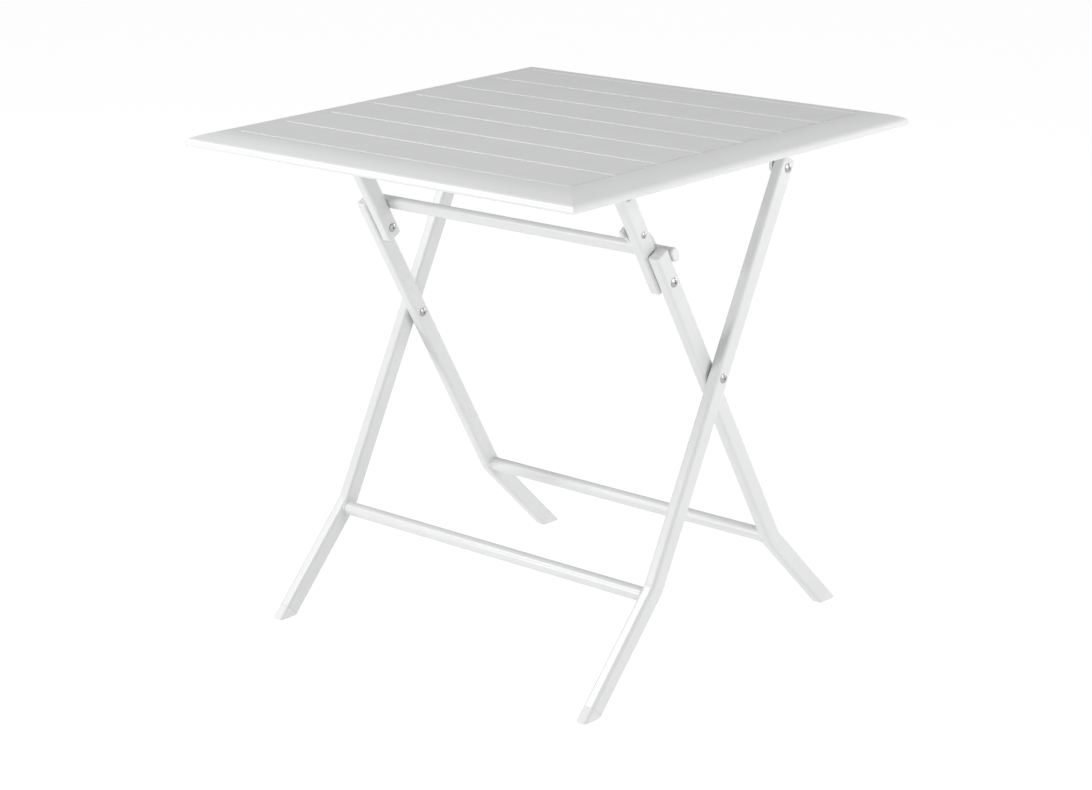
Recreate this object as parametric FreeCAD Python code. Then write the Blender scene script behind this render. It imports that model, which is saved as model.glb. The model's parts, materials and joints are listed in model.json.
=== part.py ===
"""Folding square garden table of white powder-coated aluminium, in millimetres.

X runs along the slats, Y lies across them in the plane in which the legs fold, Z is up.
The origin is on the floor under the middle of the top.
Right is +X, left is -X, front is -Y, rear is +Y.

On each side three flat tubes lie in three layers, from the outside in:
the outer leg, the inner leg and the arm. The two legs cross like scissors.
The outer leg ends under the top. The inner leg stops short at an elbow, and
the arm carries on from the elbow up to the top. Arm and inner leg are in line when the table
stands, the arm rests on a stop bar, and a latch on the right arm hooks over that bar.
"""

import FreeCAD, Part
import math
import os

Vector = FreeCAD.Vector
Placement = FreeCAD.Placement
Rotation = FreeCAD.Rotation

X_AXIS = Vector(1, 0, 0)
Z_AXIS = Vector(0, 0, 1)
DOWN = Vector(0, 0, -1)

# Overall size
table_height = 713.6
top_side = 700.0
leg_inset = 52.0               # edge of the top to the outer face of an outer leg

# Tube of the legs and arms
tube_width = 18.0              # along X
tube_depth = 25.0              # in the plane of the fold
tube_corner = 4.5
tube_wall = 1.6
bend_radius = 40.0             # on the centre line
layer_gap = 2.8                # between neighbouring tubes and brackets

# Legs and arms, seen along X. Leans are degrees from upright.
top_pivot_drop = 51.2          # top surface down to the pivot of the outer legs
arm_pivot_drop = 46.1          # and to the pivot of the arms
crossing_offset = 5.5          # of the crossing pivot, towards the rear
outer_lean = 28.0
outer_reach = 296.1            # crossing pivot to top pivot
outer_splay = 43.6             # lean below the bend
outer_bend_height = 140.5
outer_end = 10.5               # tube beyond the top pivot
inner_lean = 28.2
inner_reach = 163.4            # crossing pivot to elbow
inner_splay = 44.6
inner_bend_height = 129.4
inner_end = 44.0               # tube beyond the elbow
arm_head = 10.5                # tube beyond the arm pivot
arm_tail = 13.5                # tube beyond the elbow
arm_setback = 0.3              # arm tube clear of the stop bar it rests on

# Plugs, feet and cross members
plug_thickness = 2.8
plug_length = 4.5              # inside the tube
plug_clearance = 0.1
plug_edge = 2.0
foot_edge = 1.0                # round the sole
foot_parting_edge = 0.6
foot_height = 13.0             # parting line to the floor, along the leg
foot_length = 18.0             # inside the tube
crossbar_diameter = 20.0
crossbar_wall = 1.5
outer_bar_past_bend = 10.0     # towards the floor
inner_bar_past_bend = 2.0      # towards the elbow
stop_bar_depth = 20.0          # along the inner leg
stop_bar_height = 13.0         # off the inner leg
stop_bar_corner = 6.0
stop_bar_wall = 1.5
stop_bar_past_elbow = 31.5
stop_cap_thickness = 2.5
stop_cap_proud = 2.0           # of the inner leg's outer face

# Pivot hardware
pin_diameter = 8.0
thread_diameter = 5.0
running_clearance = 0.05       # on the radius of every hole
side_clearance = 0.3           # between faces that turn past each other
head_diameter = 12.6
head_height = 2.5
head_rim = 0.8
socket_size = 4.0              # across the flats of the hexagon
socket_depth = 1.4
washer_diameter = 14.0
nut_size = 8.0                 # across the flats
nut_height = 3.0
thread_past_nut = 0.6

# Top: frame of four hollow members, slats between them
border_width = 52.3
border_thickness = 19.0
border_flat = 6.0              # level strip beside the slats, before the edge curves down
border_fall = 10.5             # of the top face, from the level strip to the nose
border_wall = 1.8
opening_edge = 2.0
lip_width = 12.0               # ledge under the slat ends
slat_count = 7
slat_thickness = 12.0
slat_wall = 1.4
slat_edge = 2.0
slat_groove = 2.4
slat_end_gap = 0.3
rib_thickness = 1.2
tongue_drop = 4.5              # groove depth down to the tongue
tongue_thickness = 1.2
tongue_slit = 0.2
tongue_short = 3.0             # tongue stops before the slat's end

# Under the top
rail_width = 25.0
rail_height = 12.0
rail_wall = 1.5
rail_end_gap = 0.5
bracket_thickness = 5.0
bracket_top_gap = 0.5          # flange to the slats
lug_radius = 8.0
flange_length = 36.0           # of a bracket along its rail
flange_screw_pitch = 24.0
key_width = 24.0
key_height = 9.0
key_length = 62.0
key_inset = 5.0                # key to the opening's edge
key_screw_at = 50.0            # from the key's outer corner

# Small fasteners
screw_diameter = 3.6
screw_head_diameter = 7.0
screw_head_height = 1.8
screw_bite = 3.5               # thread beyond the wall that it holds
rivet_diameter = 3.2
rivet_flange = 6.4
rivet_flange_height = 1.0
rivet_bulb = 5.0
rivet_bulb_height = 1.8

# Latch on the right arm. Places are (along the arm from the elbow, square to the arm).
latch_pivot_along = 75.6
latch_thickness = 5.4
latch_finger = 5.5
latch_bar_clearance = 0.6
latch_corner = 2.0             # in its outline
latch_edge = 0.9               # round both faces
latch_pin_diameter = 5.0
latch_head_diameter = 8.5
latch_head_height = 2.0
latch_rivet_diameter = 8.0
latch_rivet_height = 1.6


# ---------------------------------------------------------------- places

def leaning(lean):
    """Unit vector in the plane of the fold that leans from upright towards the rear."""
    return Vector(0, math.sin(math.radians(lean)), math.cos(math.radians(lean)))


def at_x(x, point):
    return Vector(x, point.y, point.z)


outer_up = leaning(outer_lean)
outer_low = leaning(outer_splay)
inner_up = leaning(-inner_lean)
inner_low = leaning(-inner_splay)
inner_rear = leaning(90 - inner_lean)      # square to inner leg and arm, on the stop bar's side

top_pivot_height = table_height - top_pivot_drop
crossing = Vector(0, crossing_offset, top_pivot_height - outer_reach * outer_up.z)
top_pivot = crossing + outer_up * outer_reach
elbow = crossing + inner_up * inner_reach
arm_pivot = elbow + inner_up * ((table_height - arm_pivot_drop - elbow.z) / inner_up.z)

outer_bend = crossing - outer_up * ((crossing.z - outer_bend_height) / outer_up.z)
inner_bend = crossing - inner_up * ((crossing.z - inner_bend_height) / inner_up.z)
outer_floor = outer_bend - outer_low * (outer_bend.z / outer_low.z)
inner_floor = inner_bend - inner_low * (inner_bend.z / inner_low.z)

half_top = top_side / 2
half_opening = half_top - border_width
layer_pitch = tube_width + layer_gap
outer_x = half_top - leg_inset - tube_width / 2
inner_x = outer_x - layer_pitch
arm_x = inner_x - layer_pitch
leg_ear_x = outer_x - tube_width / 2 - layer_gap      # outer face of the ear
arm_ear_x = arm_x - tube_width / 2 - layer_gap
rail_outer_x = arm_ear_x - bracket_thickness

slat_underside = table_height - slat_thickness
border_underside = table_height - border_thickness
border_side = border_thickness - border_fall          # height of the outer side before it is rounded
nose_radius = border_side
heel_radius = border_side / 4
rail_underside = slat_underside - rail_height
slat_pitch = 2 * half_opening / slat_count
slat_width = slat_pitch - slat_groove
slat_half_length = half_opening - slat_end_gap
slat_middles = [(index - (slat_count - 1) / 2) * slat_pitch for index in range(slat_count)]


# ---------------------------------------------------------------- small tools

def save(name, *solids):
    shape = solids[0] if len(solids) == 1 else Part.makeCompound(list(solids))
    shape.exportStep(f"parts/{name}.step")


def mirrored(shape):
    return shape.mirror(Vector(0, 0, 0), X_AXIS)


def save_pair(name, shape):
    """The right piece and its mirror image as two nodes."""
    save(f"{name}_right", shape)
    save(f"{name}_left", mirrored(shape))


def save_both(name, shape):
    """The right piece and its mirror image as one node of two solids."""
    save(name, shape, mirrored(shape))


def box(x_low, x_high, y_low, y_high, z_low, z_high):
    return Part.makeBox(x_high - x_low, y_high - y_low, z_high - z_low, Vector(x_low, y_low, z_low))


def rod(x_low, x_high, point, diameter):
    """Round bar along X."""
    return Part.makeCylinder(diameter / 2, x_high - x_low, at_x(x_low, point), X_AXIS)


def bore(x_low, x_high, point, diameter):
    """Hole for a pin of this diameter, along X."""
    return rod(x_low, x_high, point, diameter + 2 * running_clearance)


def upright_bore(place, length, diameter):
    """Hole for a pin of this diameter that starts at a place and goes up."""
    return Part.makeCylinder(diameter / 2 + running_clearance, length, place, Z_AXIS)


def placed(shape, place, facing):
    """Moves a piece drawn about the Z axis so that its +Z faces another way."""
    moved = shape.copy()
    moved.Placement = Placement(place, Rotation(Z_AXIS, facing))
    return moved


def turned(outline):
    """Solid of revolution about Z from its half outline: edges in the XZ plane."""
    return Part.Face(Part.Wire(outline)).revolve(Vector(0, 0, 0), Z_AXIS, 360)


def straight(*points):
    """Line edges through the points."""
    return [Part.LineSegment(a, b).toShape() for a, b in zip(points, points[1:])]


def rounded_rectangle(width, depth, corner):
    """Face about the origin in the XY plane."""
    x = width / 2 - corner
    y = depth / 2 - corner
    arcs = []
    for quarter, centre in enumerate([(x, y), (-x, y), (-x, -y), (x, -y)]):
        circle = Part.Circle(Vector(centre[0], centre[1], 0), Z_AXIS, corner)
        start = math.radians(90 * quarter)
        arcs.append(Part.Arc(circle, start, start + math.radians(90)).toShape())
    edges = []
    for arc, following in zip(arcs, arcs[1:] + arcs[:1]):
        edges.append(arc)
        edges += straight(arc.Vertexes[-1].Point, following.Vertexes[0].Point)
    return Part.Face(Part.Wire(edges))


def edges_along(shape, direction, places):
    """Edges that run along a direction through any of the places."""
    chosen = []
    for edge in shape.Edges:
        run = edge.Vertexes[-1].Point - edge.Vertexes[0].Point
        if run.Length < 1e-6 or abs(run.normalize().dot(direction)) < 0.999:
            continue
        start = edge.Vertexes[0].Point
        if any((start - place).cross(direction).Length < 0.01 for place in places):
            chosen.append(edge)
    return chosen


# ---------------------------------------------------------------- flat tube

def tube_face(x, point, lean, inset=0.0):
    """Section of the tube, square to its run; inset makes it smaller all round."""
    corner = max(tube_corner - inset, 0.5)
    face = rounded_rectangle(tube_width - 2 * inset, tube_depth - 2 * inset, corner)
    face.Placement = Placement(at_x(x, point), Rotation(X_AXIS, -lean))
    return face


def tube_section(x, point, lean):
    return tube_face(x, point, lean).cut(tube_face(x, point, lean, tube_wall)).Faces[0]


def bent_tube(x, top, bend, bottom, lean, splay):
    """Leg from its top end, round one bend, to its bottom end."""
    turn = lean - splay
    setback = bend_radius * math.tan(math.radians(abs(turn)) / 2)
    bend_start = bend + leaning(lean) * setback
    bend_end = bend - leaning(splay) * setback
    across = X_AXIS.cross(leaning(lean) * -1) * math.copysign(bend_radius, turn)
    upper = tube_section(x, top, lean).extrude(bend_start - top)
    round_part = tube_section(x, bend_start, lean).revolve(at_x(x, bend_start + across), X_AXIS, turn)
    lower = tube_section(x, bend_end, splay).extrude(bottom - bend_end)
    return upper.fuse([round_part, lower]).removeSplitter().Solids[0]


def end_plug(x, end, lean):
    """Cap on the end of a tube whose run, outwards, has this lean, with its spigot inside."""
    outwards = leaning(lean)
    cap = tube_face(x, end, lean).extrude(outwards * plug_thickness)
    outer_face = max(cap.Faces, key=lambda face: face.CenterOfMass.dot(outwards))
    cap = cap.makeFillet(plug_edge, outer_face.Edges)
    spigot = tube_face(x, end, lean, tube_wall + plug_clearance).extrude(outwards * -plug_length)
    return cap.fuse(spigot).removeSplitter().Solids[0]


def foot(x, end, splay):
    """Sleeve foot in line with the leg, cut level at the floor, with its spigot inside."""
    outwards = leaning(splay) * -1
    block = tube_face(x, end, splay).extrude(outwards * (foot_height + tube_depth))
    reach = foot_height + 2 * tube_depth
    above_floor = box(x - reach, x + reach, end.y - reach, end.y + reach, 0, end.z + reach)
    block = block.common(above_floor)
    sole = min(block.Faces, key=lambda face: face.CenterOfMass.z)
    block = block.makeFillet(foot_edge, sole.Edges)
    parting = min(block.Faces, key=lambda face: face.CenterOfMass.dot(outwards))
    block = block.makeFillet(foot_parting_edge, parting.Edges)
    spigot = tube_face(x, end, splay, tube_wall + plug_clearance).extrude(outwards * -foot_length)
    return block.fuse(spigot).removeSplitter().Solids[0]


# ---------------------------------------------------------------- fasteners

def dome(diameter, height, rim):
    """Domed disc on the XY plane."""
    radius = diameter / 2
    rise = height - rim
    ball = (radius ** 2 + rise ** 2) / (2 * rise)
    half_way = rim + math.sqrt(ball ** 2 - radius ** 2 / 4) - (ball - rise)
    outline = straight(Vector(0, 0, height), Vector(0, 0, 0), Vector(radius, 0, 0), Vector(radius, 0, rim))
    crown = Part.Arc(Vector(radius, 0, rim), Vector(radius / 2, 0, half_way), Vector(0, 0, height))
    return turned(outline + [crown.toShape()])


def hexagon(across_flats, low, high):
    """Hexagonal prism about Z."""
    radius = across_flats / math.sqrt(3)
    corners = [Vector(radius, 0, low)]
    for sixth in range(1, 7):
        corners.append(Rotation(Z_AXIS, 60 * sixth).multVec(corners[0]))
    return Part.Face(Part.makePolygon(corners)).extrude(Z_AXIS * (high - low))


def socket_head():
    """Domed head with a hexagon socket."""
    return dome(head_diameter, head_height, head_rim).cut(
        hexagon(socket_size, head_height - socket_depth, head_height))


def shank(diameter, start, length):
    """Round shank that goes down from a depth below the head's seat."""
    return Part.makeCylinder(diameter / 2, length, Vector(0, 0, -start), DOWN)


def pivot_bolt(shoulder_length, thread_length):
    """Shoulder bolt: the tube turns on the shoulder, the thread takes the nut."""
    bolt = socket_head().fuse(shank(pin_diameter, 0, shoulder_length))
    if thread_length > 0:
        bolt = bolt.fuse(shank(thread_diameter, shoulder_length, thread_length))
    return bolt.removeSplitter()


def sleeve_nut(length, bored):
    """Headed sleeve; bored tells whether a screw comes in at its open end."""
    sleeve = socket_head().fuse(shank(pin_diameter, 0, length))
    if bored:
        sleeve = sleeve.cut(shank(thread_diameter + 2 * running_clearance, plug_thickness, length))
    return sleeve.removeSplitter()


def washer(thickness):
    disc = Part.makeCylinder(washer_diameter / 2, thickness)
    return disc.cut(Part.makeCylinder(pin_diameter / 2 + running_clearance, thickness))


def nut():
    return hexagon(nut_size, 0, nut_height).cut(
        Part.makeCylinder(thread_diameter / 2 + running_clearance, nut_height))


def small_screw(length):
    head = dome(screw_head_diameter, screw_head_height, screw_head_height / 3)
    return head.fuse(shank(screw_diameter, 0, length)).removeSplitter()


def rivet(grip):
    """Blind rivet: flange outside, bulb behind the walls that it grips."""
    flange = dome(rivet_flange, rivet_flange_height, rivet_flange_height / 3)
    bulb = shank(rivet_bulb, grip, rivet_bulb_height)
    return flange.fuse([shank(rivet_diameter, 0, grip), bulb]).removeSplitter()


# ---------------------------------------------------------------- top

def crown_drop(outwards, inset):
    """Drop of a member's curved top face, or of its cavity's, this far out from the opening."""
    reach = border_width - border_flat
    radius = (reach ** 2 + border_fall ** 2) / (2 * border_fall)
    run = outwards - border_flat
    return radius - math.sqrt((radius - inset) ** 2 - run ** 2)


def border_outline(inset):
    """Section of a frame member of the front, drawn at x = 0; inset gives its cavity."""
    def at(outwards, drop):
        return Vector(0, -half_opening - outwards, table_height - drop)

    def curve(outwards):
        return at(outwards, crown_drop(outwards, inset))

    nose = border_width - inset
    bottom = border_thickness - inset
    ledge = slat_thickness + inset
    crown = Part.Arc(curve(border_flat), curve((border_flat + nose) / 2), curve(nose)).toShape()
    edges = straight(curve(nose), at(nose, bottom), at(inset - lip_width, bottom),
                     at(inset - lip_width, ledge), at(inset, ledge), at(inset, inset),
                     at(border_flat, inset))
    return Part.Face(Part.Wire([crown] + edges))


def rivet_places():
    """Where each slat is riveted to the right-hand ledge, on the frame's underside."""
    x = half_opening - lip_width / 2
    return [Vector(x, middle, border_underside) for middle in slat_middles]


def key_screw_places():
    """Two screws for the key of the front right corner, on the frame's underside."""
    along = half_opening + key_inset + key_width - key_screw_at
    across = half_opening + key_inset + key_width / 2
    return [Vector(along, -across, border_underside), Vector(across, -along, border_underside)]


def border_bar(inset):
    """Front member before its ends are cut, with a rounded nose; inset gives its cavity."""
    bar = border_outline(inset).translated(X_AXIS * -half_top).extrude(X_AXIS * top_side)
    nose = Vector(0, inset - half_top, table_height - crown_drop(border_width - inset, inset))
    return bar.makeFillet(nose_radius - inset, edges_along(bar, X_AXIS, [nose]))


def border_member():
    """Front member: hollow, curved down to its nose, mitred at both ends."""
    outer = border_bar(0)
    heel = Vector(0, -half_top, border_underside)
    rim = Vector(0, -half_opening, table_height)
    outer = outer.makeFillet(heel_radius, edges_along(outer, X_AXIS, [heel]))
    outer = outer.makeFillet(opening_edge, edges_along(outer, X_AXIS, [rim]))
    member = outer.cut(border_bar(border_wall))
    tip = Vector(0, 0, 0)
    corner = Vector(half_top * 2, -half_top * 2, 0)
    wedge = Part.Face(Part.makePolygon([tip, corner, mirrored(Part.Vertex(corner)).Point, tip]))
    member = member.common(wedge.extrude(Z_AXIS * table_height * 2))
    return member.Solids[0]


def quarter_turn(shape, quarters):
    moved = shape.copy()
    moved.rotate(Vector(0, 0, 0), Z_AXIS, 90 * quarters)
    return moved


def make_borders():
    """Four equal members round the slats. The side ones have holes for the slat rivets."""
    holes = []
    for place in key_screw_places():
        holes.append(upright_bore(place, border_wall, screw_diameter))
    key_holes = [quarter_turn(hole, quarters) for hole in holes for quarters in range(4)]
    ledge_holes = [upright_bore(place, border_thickness, rivet_diameter) for place in rivet_places()]
    for quarters, name in enumerate(["front", "right", "rear", "left"]):
        member = quarter_turn(border_member(), quarters).cut(key_holes)
        if name == "right":
            member = member.cut(ledge_holes)
        if name == "left":
            member = member.cut([mirrored(hole) for hole in ledge_holes])
        save(f"border_{name}", member.Solids[0])


def corner_key():
    """L of two arms in the cavities of the front and right members."""
    outside = half_opening + key_inset + key_width
    inside = outside - key_width
    low = border_underside + border_wall
    high = low + key_height
    along_front = box(outside - key_length, outside, -outside, -inside, low, high)
    along_right = box(inside, outside, -outside, key_length - outside, low, high)
    key = along_front.fuse(along_right).removeSplitter()
    for place in key_screw_places():
        key = key.cut(upright_bore(place, border_thickness, screw_diameter))
    return key.Solids[0]


def make_corner_keys():
    corner_names = ["front_right", "rear_right", "rear_left", "front_left"]
    screws = []
    for quarters, name in enumerate(corner_names):
        save(f"corner_key_{name}", quarter_turn(corner_key(), quarters))
        for place in key_screw_places():
            screw = placed(small_screw(border_wall + key_height - 1), place, DOWN)
            screws.append(quarter_turn(screw, quarters))
    save("key_screws", *screws)


def slat(middle):
    """Hollow slat with two ribs, and a tongue on each side that closes the groove."""
    half = slat_width / 2
    end = slat_half_length
    body = box(-end, end, middle - half, middle + half, slat_underside, table_height)
    rims = [Vector(0, middle - half, table_height), Vector(0, middle + half, table_height)]
    body = body.makeFillet(slat_edge, edges_along(body, X_AXIS, rims))
    cell = (slat_width - 2 * slat_wall - 2 * rib_thickness) / 3
    for index in range(3):
        start = middle - half + slat_wall + index * (cell + rib_thickness)
        cavity = box(-end, end, start, start + cell, slat_underside + slat_wall, table_height - slat_wall)
        body = body.cut(cavity)
    tongue_top = table_height - tongue_drop
    tongue_reach = half + (slat_groove - tongue_slit) / 2
    for near, far in [(-tongue_reach, -half), (half, tongue_reach)]:
        tongue = box(tongue_short - end, end - tongue_short, middle + near, middle + far,
                     tongue_top - tongue_thickness, tongue_top)
        body = body.fuse(tongue)
    return body.removeSplitter().Solids[0]


def slat_screw_places():
    """Where the right rail is screwed to the slats, on the rail's underside."""
    return [Vector(rail_outer_x - rail_width / 2, middle, rail_underside) for middle in slat_middles]


def make_slats():
    holes = []
    for place in slat_screw_places():
        holes.append(upright_bore(place, rail_height + slat_wall, screw_diameter))
    for place in rivet_places():
        holes.append(upright_bore(place, border_thickness - slat_thickness + slat_wall, rivet_diameter))
    holes += [mirrored(hole) for hole in holes]
    for number, middle in enumerate(slat_middles, start=1):
        save(f"slat_{number}", slat(middle).cut(holes).Solids[0])
    screws = [placed(small_screw(rail_height + slat_wall + screw_bite), place, DOWN)
              for place in slat_screw_places()]
    save("slat_screws", *screws, *[mirrored(screw) for screw in screws])
    grip = border_thickness - slat_thickness + slat_wall
    rivets = [placed(rivet(grip), place, DOWN) for place in rivet_places()]
    save("slat_rivets", *rivets, *[mirrored(piece) for piece in rivets])


def flange_screw_places(pivot):
    """Two screws of a bracket above this pivot, on its flange's outer face."""
    height = rail_underside + rail_height / 2
    offsets = [-flange_screw_pitch / 2, flange_screw_pitch / 2]
    return [Vector(arm_ear_x, pivot.y + offset, height) for offset in offsets]


def flange_holes():
    places = flange_screw_places(top_pivot) + flange_screw_places(arm_pivot)
    reach = bracket_thickness + rail_wall
    return [bore(arm_ear_x - reach, arm_ear_x, place, screw_diameter) for place in places]


def support_rail():
    """Flat tube under the slats, from ledge to ledge."""
    half = half_opening - lip_width - rail_end_gap
    inner = rail_outer_x - rail_width
    rail = box(inner, rail_outer_x, -half, half, rail_underside, slat_underside)
    cavity = box(inner + rail_wall, rail_outer_x - rail_wall, -half, half,
                 rail_underside + rail_wall, slat_underside - rail_wall)
    holes = [upright_bore(place, rail_height, screw_diameter) for place in slat_screw_places()]
    return rail.cut([cavity] + holes + flange_holes()).Solids[0]


def lug(pivot, ear_x, top):
    """Ear with a round end about a pivot, up to a height."""
    inner = ear_x - bracket_thickness
    plate = box(inner, ear_x, pivot.y - lug_radius, pivot.y + lug_radius, pivot.z, top)
    return plate.fuse(rod(inner, ear_x, pivot, 2 * lug_radius))


def flange(pivot, bottom):
    """Plate that is screwed to the rail's outer side."""
    half = flange_length / 2
    top = slat_underside - bracket_top_gap
    return box(rail_outer_x, arm_ear_x, pivot.y - half, pivot.y + half, bottom, top)


def make_brackets():
    """Arm bracket: a flat T. Leg bracket: flange, shelf outwards, and its ear at the end."""
    holes = flange_holes()
    arm_bracket = flange(arm_pivot, rail_underside).fuse(lug(arm_pivot, arm_ear_x, rail_underside))
    arm_bracket = arm_bracket.removeSplitter().cut(
        holes + [bore(rail_outer_x, arm_ear_x, arm_pivot, thread_diameter)])
    save_pair("arm_bracket", arm_bracket.Solids[0])

    shelf_bottom = rail_underside - bracket_thickness
    half = flange_length / 2
    shelf = box(rail_outer_x, leg_ear_x, top_pivot.y - half, top_pivot.y + half,
                shelf_bottom, rail_underside)
    leg_bracket = flange(top_pivot, shelf_bottom).fuse([shelf, lug(top_pivot, leg_ear_x, rail_underside)])
    leg_bracket = leg_bracket.removeSplitter().cut(
        holes + [bore(leg_ear_x - bracket_thickness, leg_ear_x, top_pivot, thread_diameter)])
    save_pair("leg_bracket", leg_bracket.Solids[0])

    screws = []
    for place in flange_screw_places(top_pivot) + flange_screw_places(arm_pivot):
        screws.append(placed(small_screw(bracket_thickness + rail_wall + screw_bite), place, X_AXIS))
    save("bracket_screws", *screws, *[mirrored(screw) for screw in screws])


def make_top_pivots():
    """Shoulder bolts, washers and nuts of the outer legs and of the arms, all held by the top."""
    shoulder = layer_gap + tube_width + side_clearance
    thread = bracket_thickness + nut_height + thread_past_nut
    washers = []
    nuts = []
    pivots = [("leg_pivot_bolts", top_pivot, leg_ear_x), ("arm_pivot_bolts", arm_pivot, arm_ear_x)]
    for name, pivot, ear_x in pivots:
        bolt = placed(pivot_bolt(shoulder, thread), at_x(ear_x + shoulder, pivot), X_AXIS)
        save_both(name, bolt)
        washers.append(placed(washer(layer_gap - side_clearance), at_x(ear_x, pivot), X_AXIS))
        nuts.append(placed(nut(), at_x(ear_x - bracket_thickness, pivot), X_AXIS * -1))
    save("pivot_washers", *washers, *[mirrored(piece) for piece in washers])
    save("pivot_nuts", *nuts, *[mirrored(piece) for piece in nuts])


# ---------------------------------------------------------------- outer frame

def make_crossbar(name, half_length, point):
    """Round tube from leg to leg."""
    bar = rod(-half_length, half_length, point, crossbar_diameter)
    cavity = rod(-half_length, half_length, point, crossbar_diameter - 2 * crossbar_wall)
    save(name, bar.cut(cavity))


def make_outer_frame():
    face = outer_x + tube_width / 2
    back = outer_x - tube_width / 2
    top = top_pivot + outer_up * outer_end
    bottom = outer_floor + outer_low * foot_height
    leg = bent_tube(outer_x, top, outer_bend, bottom, outer_lean, outer_splay)
    leg = leg.cut([bore(back, face, top_pivot, pin_diameter), bore(back, face, crossing, thread_diameter)])
    save_pair("outer_leg", leg.Solids[0])
    save_pair("outer_top_plug", end_plug(outer_x, top, outer_lean))
    save_pair("outer_foot", foot(outer_x, bottom, outer_splay))
    make_crossbar("outer_crossbar", back, outer_bend - outer_low * outer_bar_past_bend)

    # The crossing: a screw from outside into a headed sleeve, on which the inner leg turns.
    sleeve_length = tube_width + layer_gap + side_clearance
    sleeve_seat = back - sleeve_length
    screw_length = tube_width + sleeve_length - 2 * plug_thickness
    crossing_screw = socket_head().fuse(shank(thread_diameter, 0, screw_length)).removeSplitter()
    save_both("crossing_screws", placed(crossing_screw, at_x(face, crossing), X_AXIS))
    sleeve = sleeve_nut(sleeve_length, True)
    save_both("crossing_sleeves", placed(sleeve, at_x(sleeve_seat, crossing), X_AXIS * -1))
    spacer = placed(washer(layer_gap - side_clearance), at_x(back, crossing), X_AXIS * -1)
    save_both("crossing_washers", spacer)


# ---------------------------------------------------------------- inner frame

def stop_bar_face(x, inset):
    """Section of the flat-oval stop bar, on the rear side of the inner legs."""
    centre = elbow + inner_up * stop_bar_past_elbow + inner_rear * (tube_depth / 2 + stop_bar_height / 2)
    size = (stop_bar_height - 2 * inset, stop_bar_depth - 2 * inset, stop_bar_corner - inset)
    face = rounded_rectangle(*size)
    face.Placement = Placement(at_x(x, centre), Rotation(inner_rear, inner_up, X_AXIS, "ZXY"))
    return face


def make_stop_bar():
    end = inner_x + tube_width / 2 + stop_cap_proud - stop_cap_thickness
    section = stop_bar_face(-end, 0).cut(stop_bar_face(-end, stop_bar_wall)).Faces[0]
    save("stop_bar", section.extrude(X_AXIS * 2 * end))
    cap = stop_bar_face(end, 0).extrude(X_AXIS * stop_cap_thickness)
    outer_face = max(cap.Faces, key=lambda face: face.CenterOfMass.x)
    cap = cap.makeFillet(plug_edge, outer_face.Edges)
    spigot = stop_bar_face(end, stop_bar_wall + plug_clearance).extrude(X_AXIS * -plug_length)
    save_pair("stop_bar_cap", cap.fuse(spigot).removeSplitter().Solids[0])


def make_inner_frame():
    face = inner_x + tube_width / 2
    back = inner_x - tube_width / 2
    top = elbow + inner_up * inner_end
    bottom = inner_floor + inner_low * foot_height
    leg = bent_tube(inner_x, top, inner_bend, bottom, -inner_lean, -inner_splay)
    leg = leg.cut([bore(back, face, elbow, pin_diameter), bore(back, face, crossing, pin_diameter)])
    save_pair("inner_leg", leg.Solids[0])
    save_pair("inner_top_plug", end_plug(inner_x, top, -inner_lean))
    save_pair("inner_foot", foot(inner_x, bottom, -inner_splay))
    make_crossbar("inner_crossbar", back, inner_bend + inner_up * inner_bar_past_bend)
    make_stop_bar()

    # The elbow bolt fills the leg and its washer; the arm carries the mating sleeve.
    washer_thickness = layer_gap - side_clearance
    bolt = pivot_bolt(tube_width + washer_thickness, 0)
    save_both("elbow_bolts", placed(bolt, at_x(face, elbow), X_AXIS))
    save_both("elbow_washers", placed(washer(washer_thickness), at_x(back, elbow), X_AXIS * -1))


# ---------------------------------------------------------------- arms and latch

def latch_point(along, square):
    """A place on the latch, from the elbow along and square to the arm."""
    return elbow + inner_up * along + inner_rear * square


latch_pivot = latch_point(latch_pivot_along, 0)


def arm():
    """Tube of the right arm, set back from the line of its pivots by a hair."""
    shift = inner_rear * -arm_setback
    bottom = elbow - inner_up * arm_tail + shift
    top = arm_pivot + inner_up * arm_head + shift
    tube = tube_section(arm_x, bottom, -inner_lean).extrude(top - bottom)
    face = arm_x + tube_width / 2
    back = arm_x - tube_width / 2
    holes = [bore(back, face, elbow, pin_diameter), bore(back, face, arm_pivot, pin_diameter)]
    plugs = [end_plug(arm_x, bottom, 180 - inner_lean), end_plug(arm_x, top, -inner_lean)]
    return tube.cut(holes), plugs


def make_arms():
    tube, plugs = arm()
    face = arm_x + tube_width / 2
    back = arm_x - tube_width / 2
    latched_tube = tube.cut(bore(back, face, latch_pivot, latch_pin_diameter))
    save("arm_right", latched_tube.Solids[0])
    save("arm_left", mirrored(tube.Solids[0]))
    save("arm_right_plugs", *plugs)
    save("arm_left_plugs", *[mirrored(plug) for plug in plugs])
    save_pair("elbow_sleeve", placed(sleeve_nut(tube_width, False), at_x(back, elbow), X_AXIS * -1))


def latch_outline():
    """Outline of the latch: finger over the stop bar, neck, eye about its pin, thumb tab."""
    bar_face = tube_depth / 2 + stop_bar_height
    bar_top = stop_bar_past_elbow + stop_bar_depth / 2
    inside = bar_face + latch_bar_clearance
    outside = inside + latch_finger
    throat = bar_top + 2 * latch_bar_clearance
    finger_end = stop_bar_past_elbow
    eye = latch_pivot_along
    neck = tube_depth / 2
    return [
        (finger_end, inside), (throat, inside), (throat + 2, neck),
        (eye - 12, -9), (eye + 2.5, -13), (eye + 7, -18.5), (eye + 14.5, -17.5), (eye + 16, -9),
        (eye + 11, 4), (eye + 2, 16.5), (throat + 14, inside + 0.5), (throat + 4, outside - 1),
        (finger_end + 6, outside), (finger_end, outside - 0.5),
    ]


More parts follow.
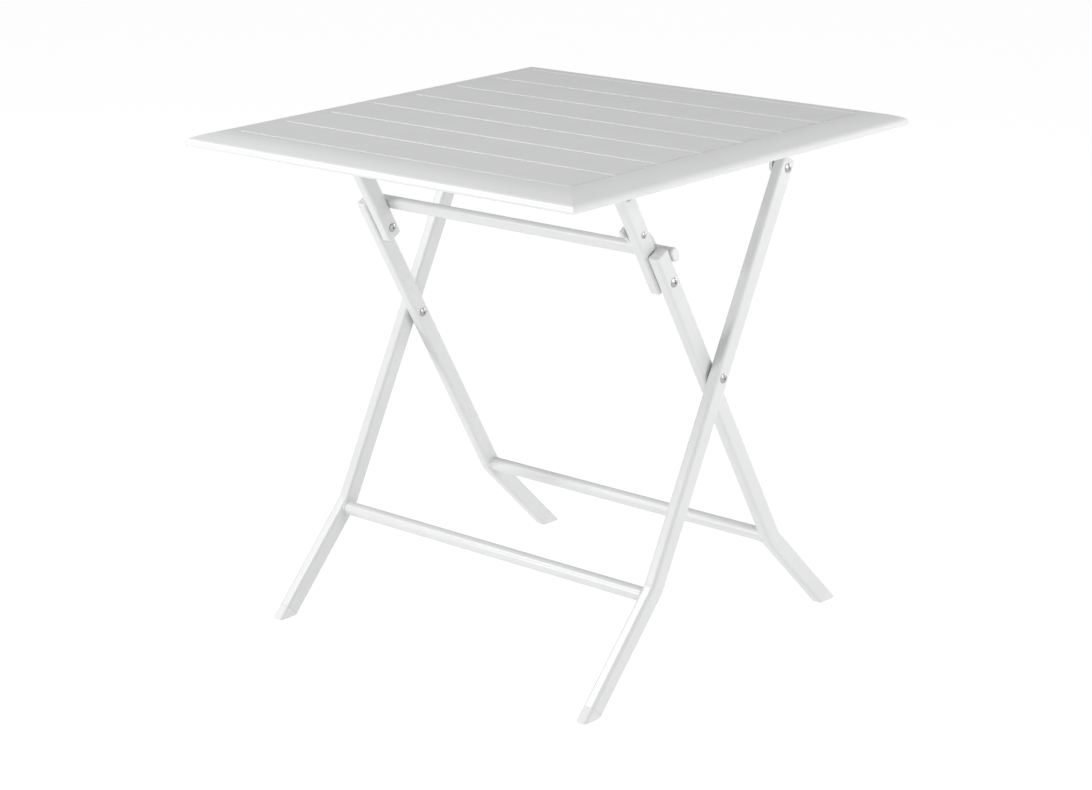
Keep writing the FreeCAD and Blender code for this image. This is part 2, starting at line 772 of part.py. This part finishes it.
def make_latch():
    back = arm_x - tube_width / 2
    outer_face = back - side_clearance
    inner_face = outer_face - latch_thickness
    points = [at_x(inner_face, latch_point(*place)) for place in latch_outline()]
    plate = Part.Face(Part.makePolygon(points + points[:1])).extrude(X_AXIS * latch_thickness)
    plate = plate.makeFillet(latch_corner, edges_along(plate, X_AXIS, points))
    broad_faces = [face for face in plate.Faces if abs(face.normalAt(0, 0).x) > 0.999]
    plate = plate.makeFillet(latch_edge, [edge for face in broad_faces for edge in face.Edges])
    save("latch", plate.cut(bore(inner_face, outer_face, latch_pivot, latch_pin_diameter)).Solids[0])

    head = dome(latch_head_diameter, latch_head_height, latch_head_height / 3)
    grip = tube_width + side_clearance + latch_thickness + side_clearance
    rivet_head = shank(latch_rivet_diameter, grip, latch_rivet_height)
    pin = head.fuse([shank(latch_pin_diameter, 0, grip), rivet_head]).removeSplitter()
    save("latch_pin", placed(pin, at_x(arm_x + tube_width / 2, latch_pivot), X_AXIS))


# ---------------------------------------------------------------- build

os.makedirs("parts", exist_ok=True)
make_borders()
make_corner_keys()
make_slats()
save_pair("support_rail", support_rail())
make_brackets()
make_top_pivots()
make_outer_frame()
make_inner_frame()
make_arms()
make_latch()

for name, point in [("top pivot", top_pivot), ("crossing", crossing), ("elbow", elbow),
                    ("arm pivot", arm_pivot), ("latch pivot", latch_pivot)]:
    print(f"{name}: y {point.y:.2f} z {point.z:.2f}")
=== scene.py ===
"""Looks of a white folding garden table: materials, small visual pieces, floor, light and camera."""

import json
import math

import bpy
from mathutils import Matrix, Vector


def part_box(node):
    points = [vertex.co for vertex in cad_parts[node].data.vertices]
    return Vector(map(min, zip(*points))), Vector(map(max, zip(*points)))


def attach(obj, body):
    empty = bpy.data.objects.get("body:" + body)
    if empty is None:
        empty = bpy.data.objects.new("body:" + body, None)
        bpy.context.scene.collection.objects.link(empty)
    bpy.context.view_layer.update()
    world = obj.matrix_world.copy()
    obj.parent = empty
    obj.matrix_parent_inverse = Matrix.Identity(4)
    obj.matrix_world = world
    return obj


# Camera: where it stands from the table's foot, in metres, and how it is turned, in degrees
CAMERA_PLACE = Vector((2.3765, -2.6486, 1.3932))
CAMERA_AZIMUTH = 42.08
CAMERA_ELEVATION = 16.72
CAMERA_ROLL = -1.08
CAMERA_LENS = 87.08
SENSOR_WIDTH = 36.0

# Stage, in metres and watts
FLOOR_SIZE = 60.0
FLOOR_GREY = 0.16
FLOOR_ROUGHNESS = 0.9
FLOOR_GLOW = 0.89
SKY_STRENGTH = 0.42
LIGHTS_AIM = Vector((0, 0, 0.4))
SOFTBOXES = [  # name, place, side of the square, power
    ("front_left_softbox", (-1.7, -2.9, 1.0), 1.0, 42),
    ("right_softbox", (2.2, 0.4, 1.2), 1.0, 20),
    ("camera_side_softbox", (2.5, -2.4, 0.4), 0.7, 9),
    ("overhead_softbox", (0.1, -0.6, 2.8), 1.2, 12),
    ("upper_left_softbox", (-2.2, -1.9, 2.7), 1.0, 44),
    ("rear_softbox", (1.2, 2.8, 0.9), 1.0, 14),
]

BLEND_START = 0.3                      # the part of a noise's range over which two colours blend
BLEND_END = 0.7
SMOOTH_ANGLE = math.radians(28)        # edges sharper than this stay sharp
MILLIMETRE = 0.001
WELD_RADIUS = 1.7 * MILLIMETRE


# ---------------------------------------------------------------- materials

def new_material(name):
    """A node material: returns the material, its nodes, a linker and its Principled shader."""
    material = bpy.data.materials.new(name)
    material.use_nodes = True
    nodes = material.node_tree.nodes
    shader = nodes["Principled BSDF"]
    return material, nodes, material.node_tree.links.new, shader


def noise(nodes, link, scale, detail, stretch=(1, 1, 1)):
    """Noise in the object's own space; stretch squeezes it along an axis."""
    coordinates = nodes.new("ShaderNodeTexCoord")
    mapping = nodes.new("ShaderNodeMapping")
    mapping.inputs["Scale"].default_value = stretch
    texture = nodes.new("ShaderNodeTexNoise")
    texture.inputs["Scale"].default_value = scale
    texture.inputs["Detail"].default_value = detail
    link(coordinates.outputs["Object"], mapping.inputs["Vector"])
    link(mapping.outputs["Vector"], texture.inputs["Vector"])
    return texture.outputs["Fac"]


def ramp(nodes, link, factor, low, high):
    """Blends two colours over the middle of a factor's range."""
    blend = nodes.new("ShaderNodeValToRGB")
    blend.color_ramp.elements[0].position = BLEND_START
    blend.color_ramp.elements[0].color = (*low, 1)
    blend.color_ramp.elements[1].position = BLEND_END
    blend.color_ramp.elements[1].color = (*high, 1)
    link(factor, blend.inputs["Fac"])
    return blend.outputs["Color"]


def roughen(nodes, link, factor, low, high):
    """Maps a factor to a roughness range."""
    spread = nodes.new("ShaderNodeMapRange")
    spread.inputs["To Min"].default_value = low
    spread.inputs["To Max"].default_value = high
    link(factor, spread.inputs["Value"])
    return spread.outputs["Result"]


def bump(nodes, link, height, distance, strength, under=None):
    """Bump of a height field, laid over another bump if one is given."""
    relief = nodes.new("ShaderNodeBump")
    relief.inputs["Distance"].default_value = distance
    relief.inputs["Strength"].default_value = strength
    link(height, relief.inputs["Height"])
    if under is not None:
        link(under, relief.inputs["Normal"])
    return relief.outputs["Normal"]


def powder_coat():
    """Satin white powder coat: fine grain over a slow orange peel, hardly uneven in tone."""
    material, nodes, link, shader = new_material("white_powder_coat")
    tone = noise(nodes, link, scale=14, detail=3)
    colour = ramp(nodes, link, tone, low=(0.637, 0.64, 0.643), high=(0.657, 0.66, 0.662))
    link(colour, shader.inputs["Base Color"])
    grain = noise(nodes, link, scale=1300, detail=2)
    peel = noise(nodes, link, scale=260, detail=2)
    link(roughen(nodes, link, grain, low=0.26, high=0.34), shader.inputs["Roughness"])
    rolling = bump(nodes, link, peel, distance=0.03 * MILLIMETRE, strength=0.25)
    relief = bump(nodes, link, grain, distance=0.02 * MILLIMETRE, strength=0.25, under=rolling)
    link(relief, shader.inputs["Normal"])
    shader.inputs["Coat Weight"].default_value = 0.08
    shader.inputs["Coat Roughness"].default_value = 0.3
    return material


def white_plastic(name, low, high, grain_scale):
    """Moulded plastic with a fine spark-eroded skin."""
    material, nodes, link, shader = new_material(name)
    tone = noise(nodes, link, scale=40, detail=2)
    link(ramp(nodes, link, tone, low, high), shader.inputs["Base Color"])
    grain = noise(nodes, link, grain_scale, detail=3)
    link(roughen(nodes, link, grain, low=0.42, high=0.56), shader.inputs["Roughness"])
    link(bump(nodes, link, grain, distance=0.04 * MILLIMETRE, strength=0.4), shader.inputs["Normal"])
    return material


def metal(name, low, high, scale, stretch, rough_low, rough_high):
    """Metal with fine directional marks."""
    material, nodes, link, shader = new_material(name)
    shader.inputs["Metallic"].default_value = 1.0
    marks = noise(nodes, link, scale, detail=4, stretch=stretch)
    link(ramp(nodes, link, marks, low, high), shader.inputs["Base Color"])
    link(roughen(nodes, link, marks, rough_low, rough_high), shader.inputs["Roughness"])
    link(bump(nodes, link, marks, distance=0.02 * MILLIMETRE, strength=0.3), shader.inputs["Normal"])
    return material


def dress_nodes(frame):
    """Gives every CAD node smooth shading and the material of its slot in the record; returns the looks."""
    looks = {
        "white_paint": powder_coat(),
        "white_plastic": white_plastic("foot_plastic", low=(0.66, 0.66, 0.655), high=(0.685, 0.685, 0.68),
                                       grain_scale=900),
        "latch_plastic": white_plastic("latch_plastic", low=(0.645, 0.645, 0.645), high=(0.67, 0.67, 0.67),
                                       grain_scale=700),
        "steel": metal("zinc_steel", low=(0.36, 0.36, 0.37), high=(0.50, 0.50, 0.51),
                       scale=500, stretch=(1, 4, 4), rough_low=0.25, rough_high=0.42),
        "bare_aluminium": metal("mill_aluminium", low=(0.66, 0.66, 0.67), high=(0.78, 0.78, 0.79),
                                scale=300, stretch=(1, 8, 8), rough_low=0.35, rough_high=0.5),
    }
    slots = {part["node"]: part["material_slot"] for part in frame["record"]["subparts"]}
    for name, node in frame["nodes"].items():
        node.data.materials.clear()
        node.data.materials.append(looks[slots[name]])
        node.data.shade_smooth()
        node.data.set_sharp_from_angle(angle=SMOOTH_ANGLE)
    return looks


# ---------------------------------------------------------------- welds

def weld_ring(name, place, radius):
    """Low ring of weld about the end of a round bar."""
    bpy.ops.mesh.primitive_torus_add(location=place, rotation=(0, math.radians(90), 0), major_radius=radius,
                                     minor_radius=WELD_RADIUS, major_segments=96, minor_segments=16)
    ring = bpy.context.object
    ring.name = name
    return ring


def make_welds(looks):
    """The crossbars' ends are welded to the inner sides of the legs."""
    for frame_name in ("outer", "inner"):
        low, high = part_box(f"{frame_name}_crossbar")
        middle = (low + high) / 2
        radius = (high.z - low.z) / 2
        for side, x in (("left", low.x), ("right", high.x)):
            ring = weld_ring(f"{frame_name}_weld_{side}", (x, middle.y, middle.z), radius)
            ring.data.materials.append(looks["white_paint"])
            ring.data.shade_smooth()
            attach(ring, f"{frame_name}_frame")


# ---------------------------------------------------------------- stage

def make_floor():
    """Plain pale floor that glows, so that it stays near white whatever light falls on it."""
    bpy.ops.mesh.primitive_plane_add(size=FLOOR_SIZE, location=(0, 0, 0))
    floor = bpy.context.object
    floor.name = "floor"
    material, _, _, shader = new_material("pale_floor")
    shader.inputs["Base Color"].default_value = (FLOOR_GREY, FLOOR_GREY, FLOOR_GREY, 1)
    shader.inputs["Roughness"].default_value = FLOOR_ROUGHNESS
    shader.inputs["Emission Color"].default_value = (1, 1, 1, 1)
    shader.inputs["Emission Strength"].default_value = FLOOR_GLOW
    floor.data.materials.append(material)


def softbox(name, place, size, power):
    """Square area light that looks at the middle of the table."""
    light = bpy.data.lights.new(name, "AREA")
    light.shape = "SQUARE"
    light.size = size
    light.energy = power
    lamp = bpy.data.objects.new(name, light)
    bpy.context.scene.collection.objects.link(lamp)
    aim = LIGHTS_AIM - Vector(place)
    lamp.location = place
    lamp.rotation_euler = aim.to_track_quat("-Z", "Y").to_euler()


def make_lights():
    """A white sky and the softboxes."""
    world = bpy.data.worlds.new("studio")
    bpy.context.scene.world = world
    world.use_nodes = True
    background = world.node_tree.nodes["Background"]
    background.inputs["Color"].default_value = (1, 1, 1, 1)
    background.inputs["Strength"].default_value = SKY_STRENGTH
    for softbox_facts in SOFTBOXES:
        softbox(*softbox_facts)


def make_camera():
    """Camera at the photograph's viewing angle."""
    azimuth = math.radians(CAMERA_AZIMUTH)
    elevation = math.radians(CAMERA_ELEVATION)
    back = Vector((math.sin(azimuth) * math.cos(elevation),
                   -math.cos(azimuth) * math.cos(elevation),
                   math.sin(elevation)))
    right = (-back).cross(Vector((0, 0, 1))).normalized()
    up = back.cross(right)
    turn = Matrix((right, up, back)).transposed() @ Matrix.Rotation(math.radians(CAMERA_ROLL), 3, "Z")
    data = bpy.data.cameras.new("camera")
    data.sensor_width = SENSOR_WIDTH
    data.lens = CAMERA_LENS
    camera = bpy.data.objects.new("camera", data)
    bpy.context.scene.collection.objects.link(camera)
    camera.matrix_world = Matrix.Translation(CAMERA_PLACE) @ turn.to_4x4()
    bpy.context.scene.camera = camera


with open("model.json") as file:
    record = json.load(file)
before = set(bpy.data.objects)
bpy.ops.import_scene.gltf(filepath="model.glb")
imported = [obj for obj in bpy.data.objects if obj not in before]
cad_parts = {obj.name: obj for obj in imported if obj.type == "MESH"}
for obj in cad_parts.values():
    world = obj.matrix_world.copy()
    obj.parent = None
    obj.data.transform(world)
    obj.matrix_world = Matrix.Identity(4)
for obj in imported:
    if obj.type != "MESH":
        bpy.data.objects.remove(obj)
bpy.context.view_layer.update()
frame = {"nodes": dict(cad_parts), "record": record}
looks = dress_nodes(frame)
make_welds(looks)
make_floor()
make_lights()
make_camera()
bpy.context.scene.view_settings.view_transform = "Standard"
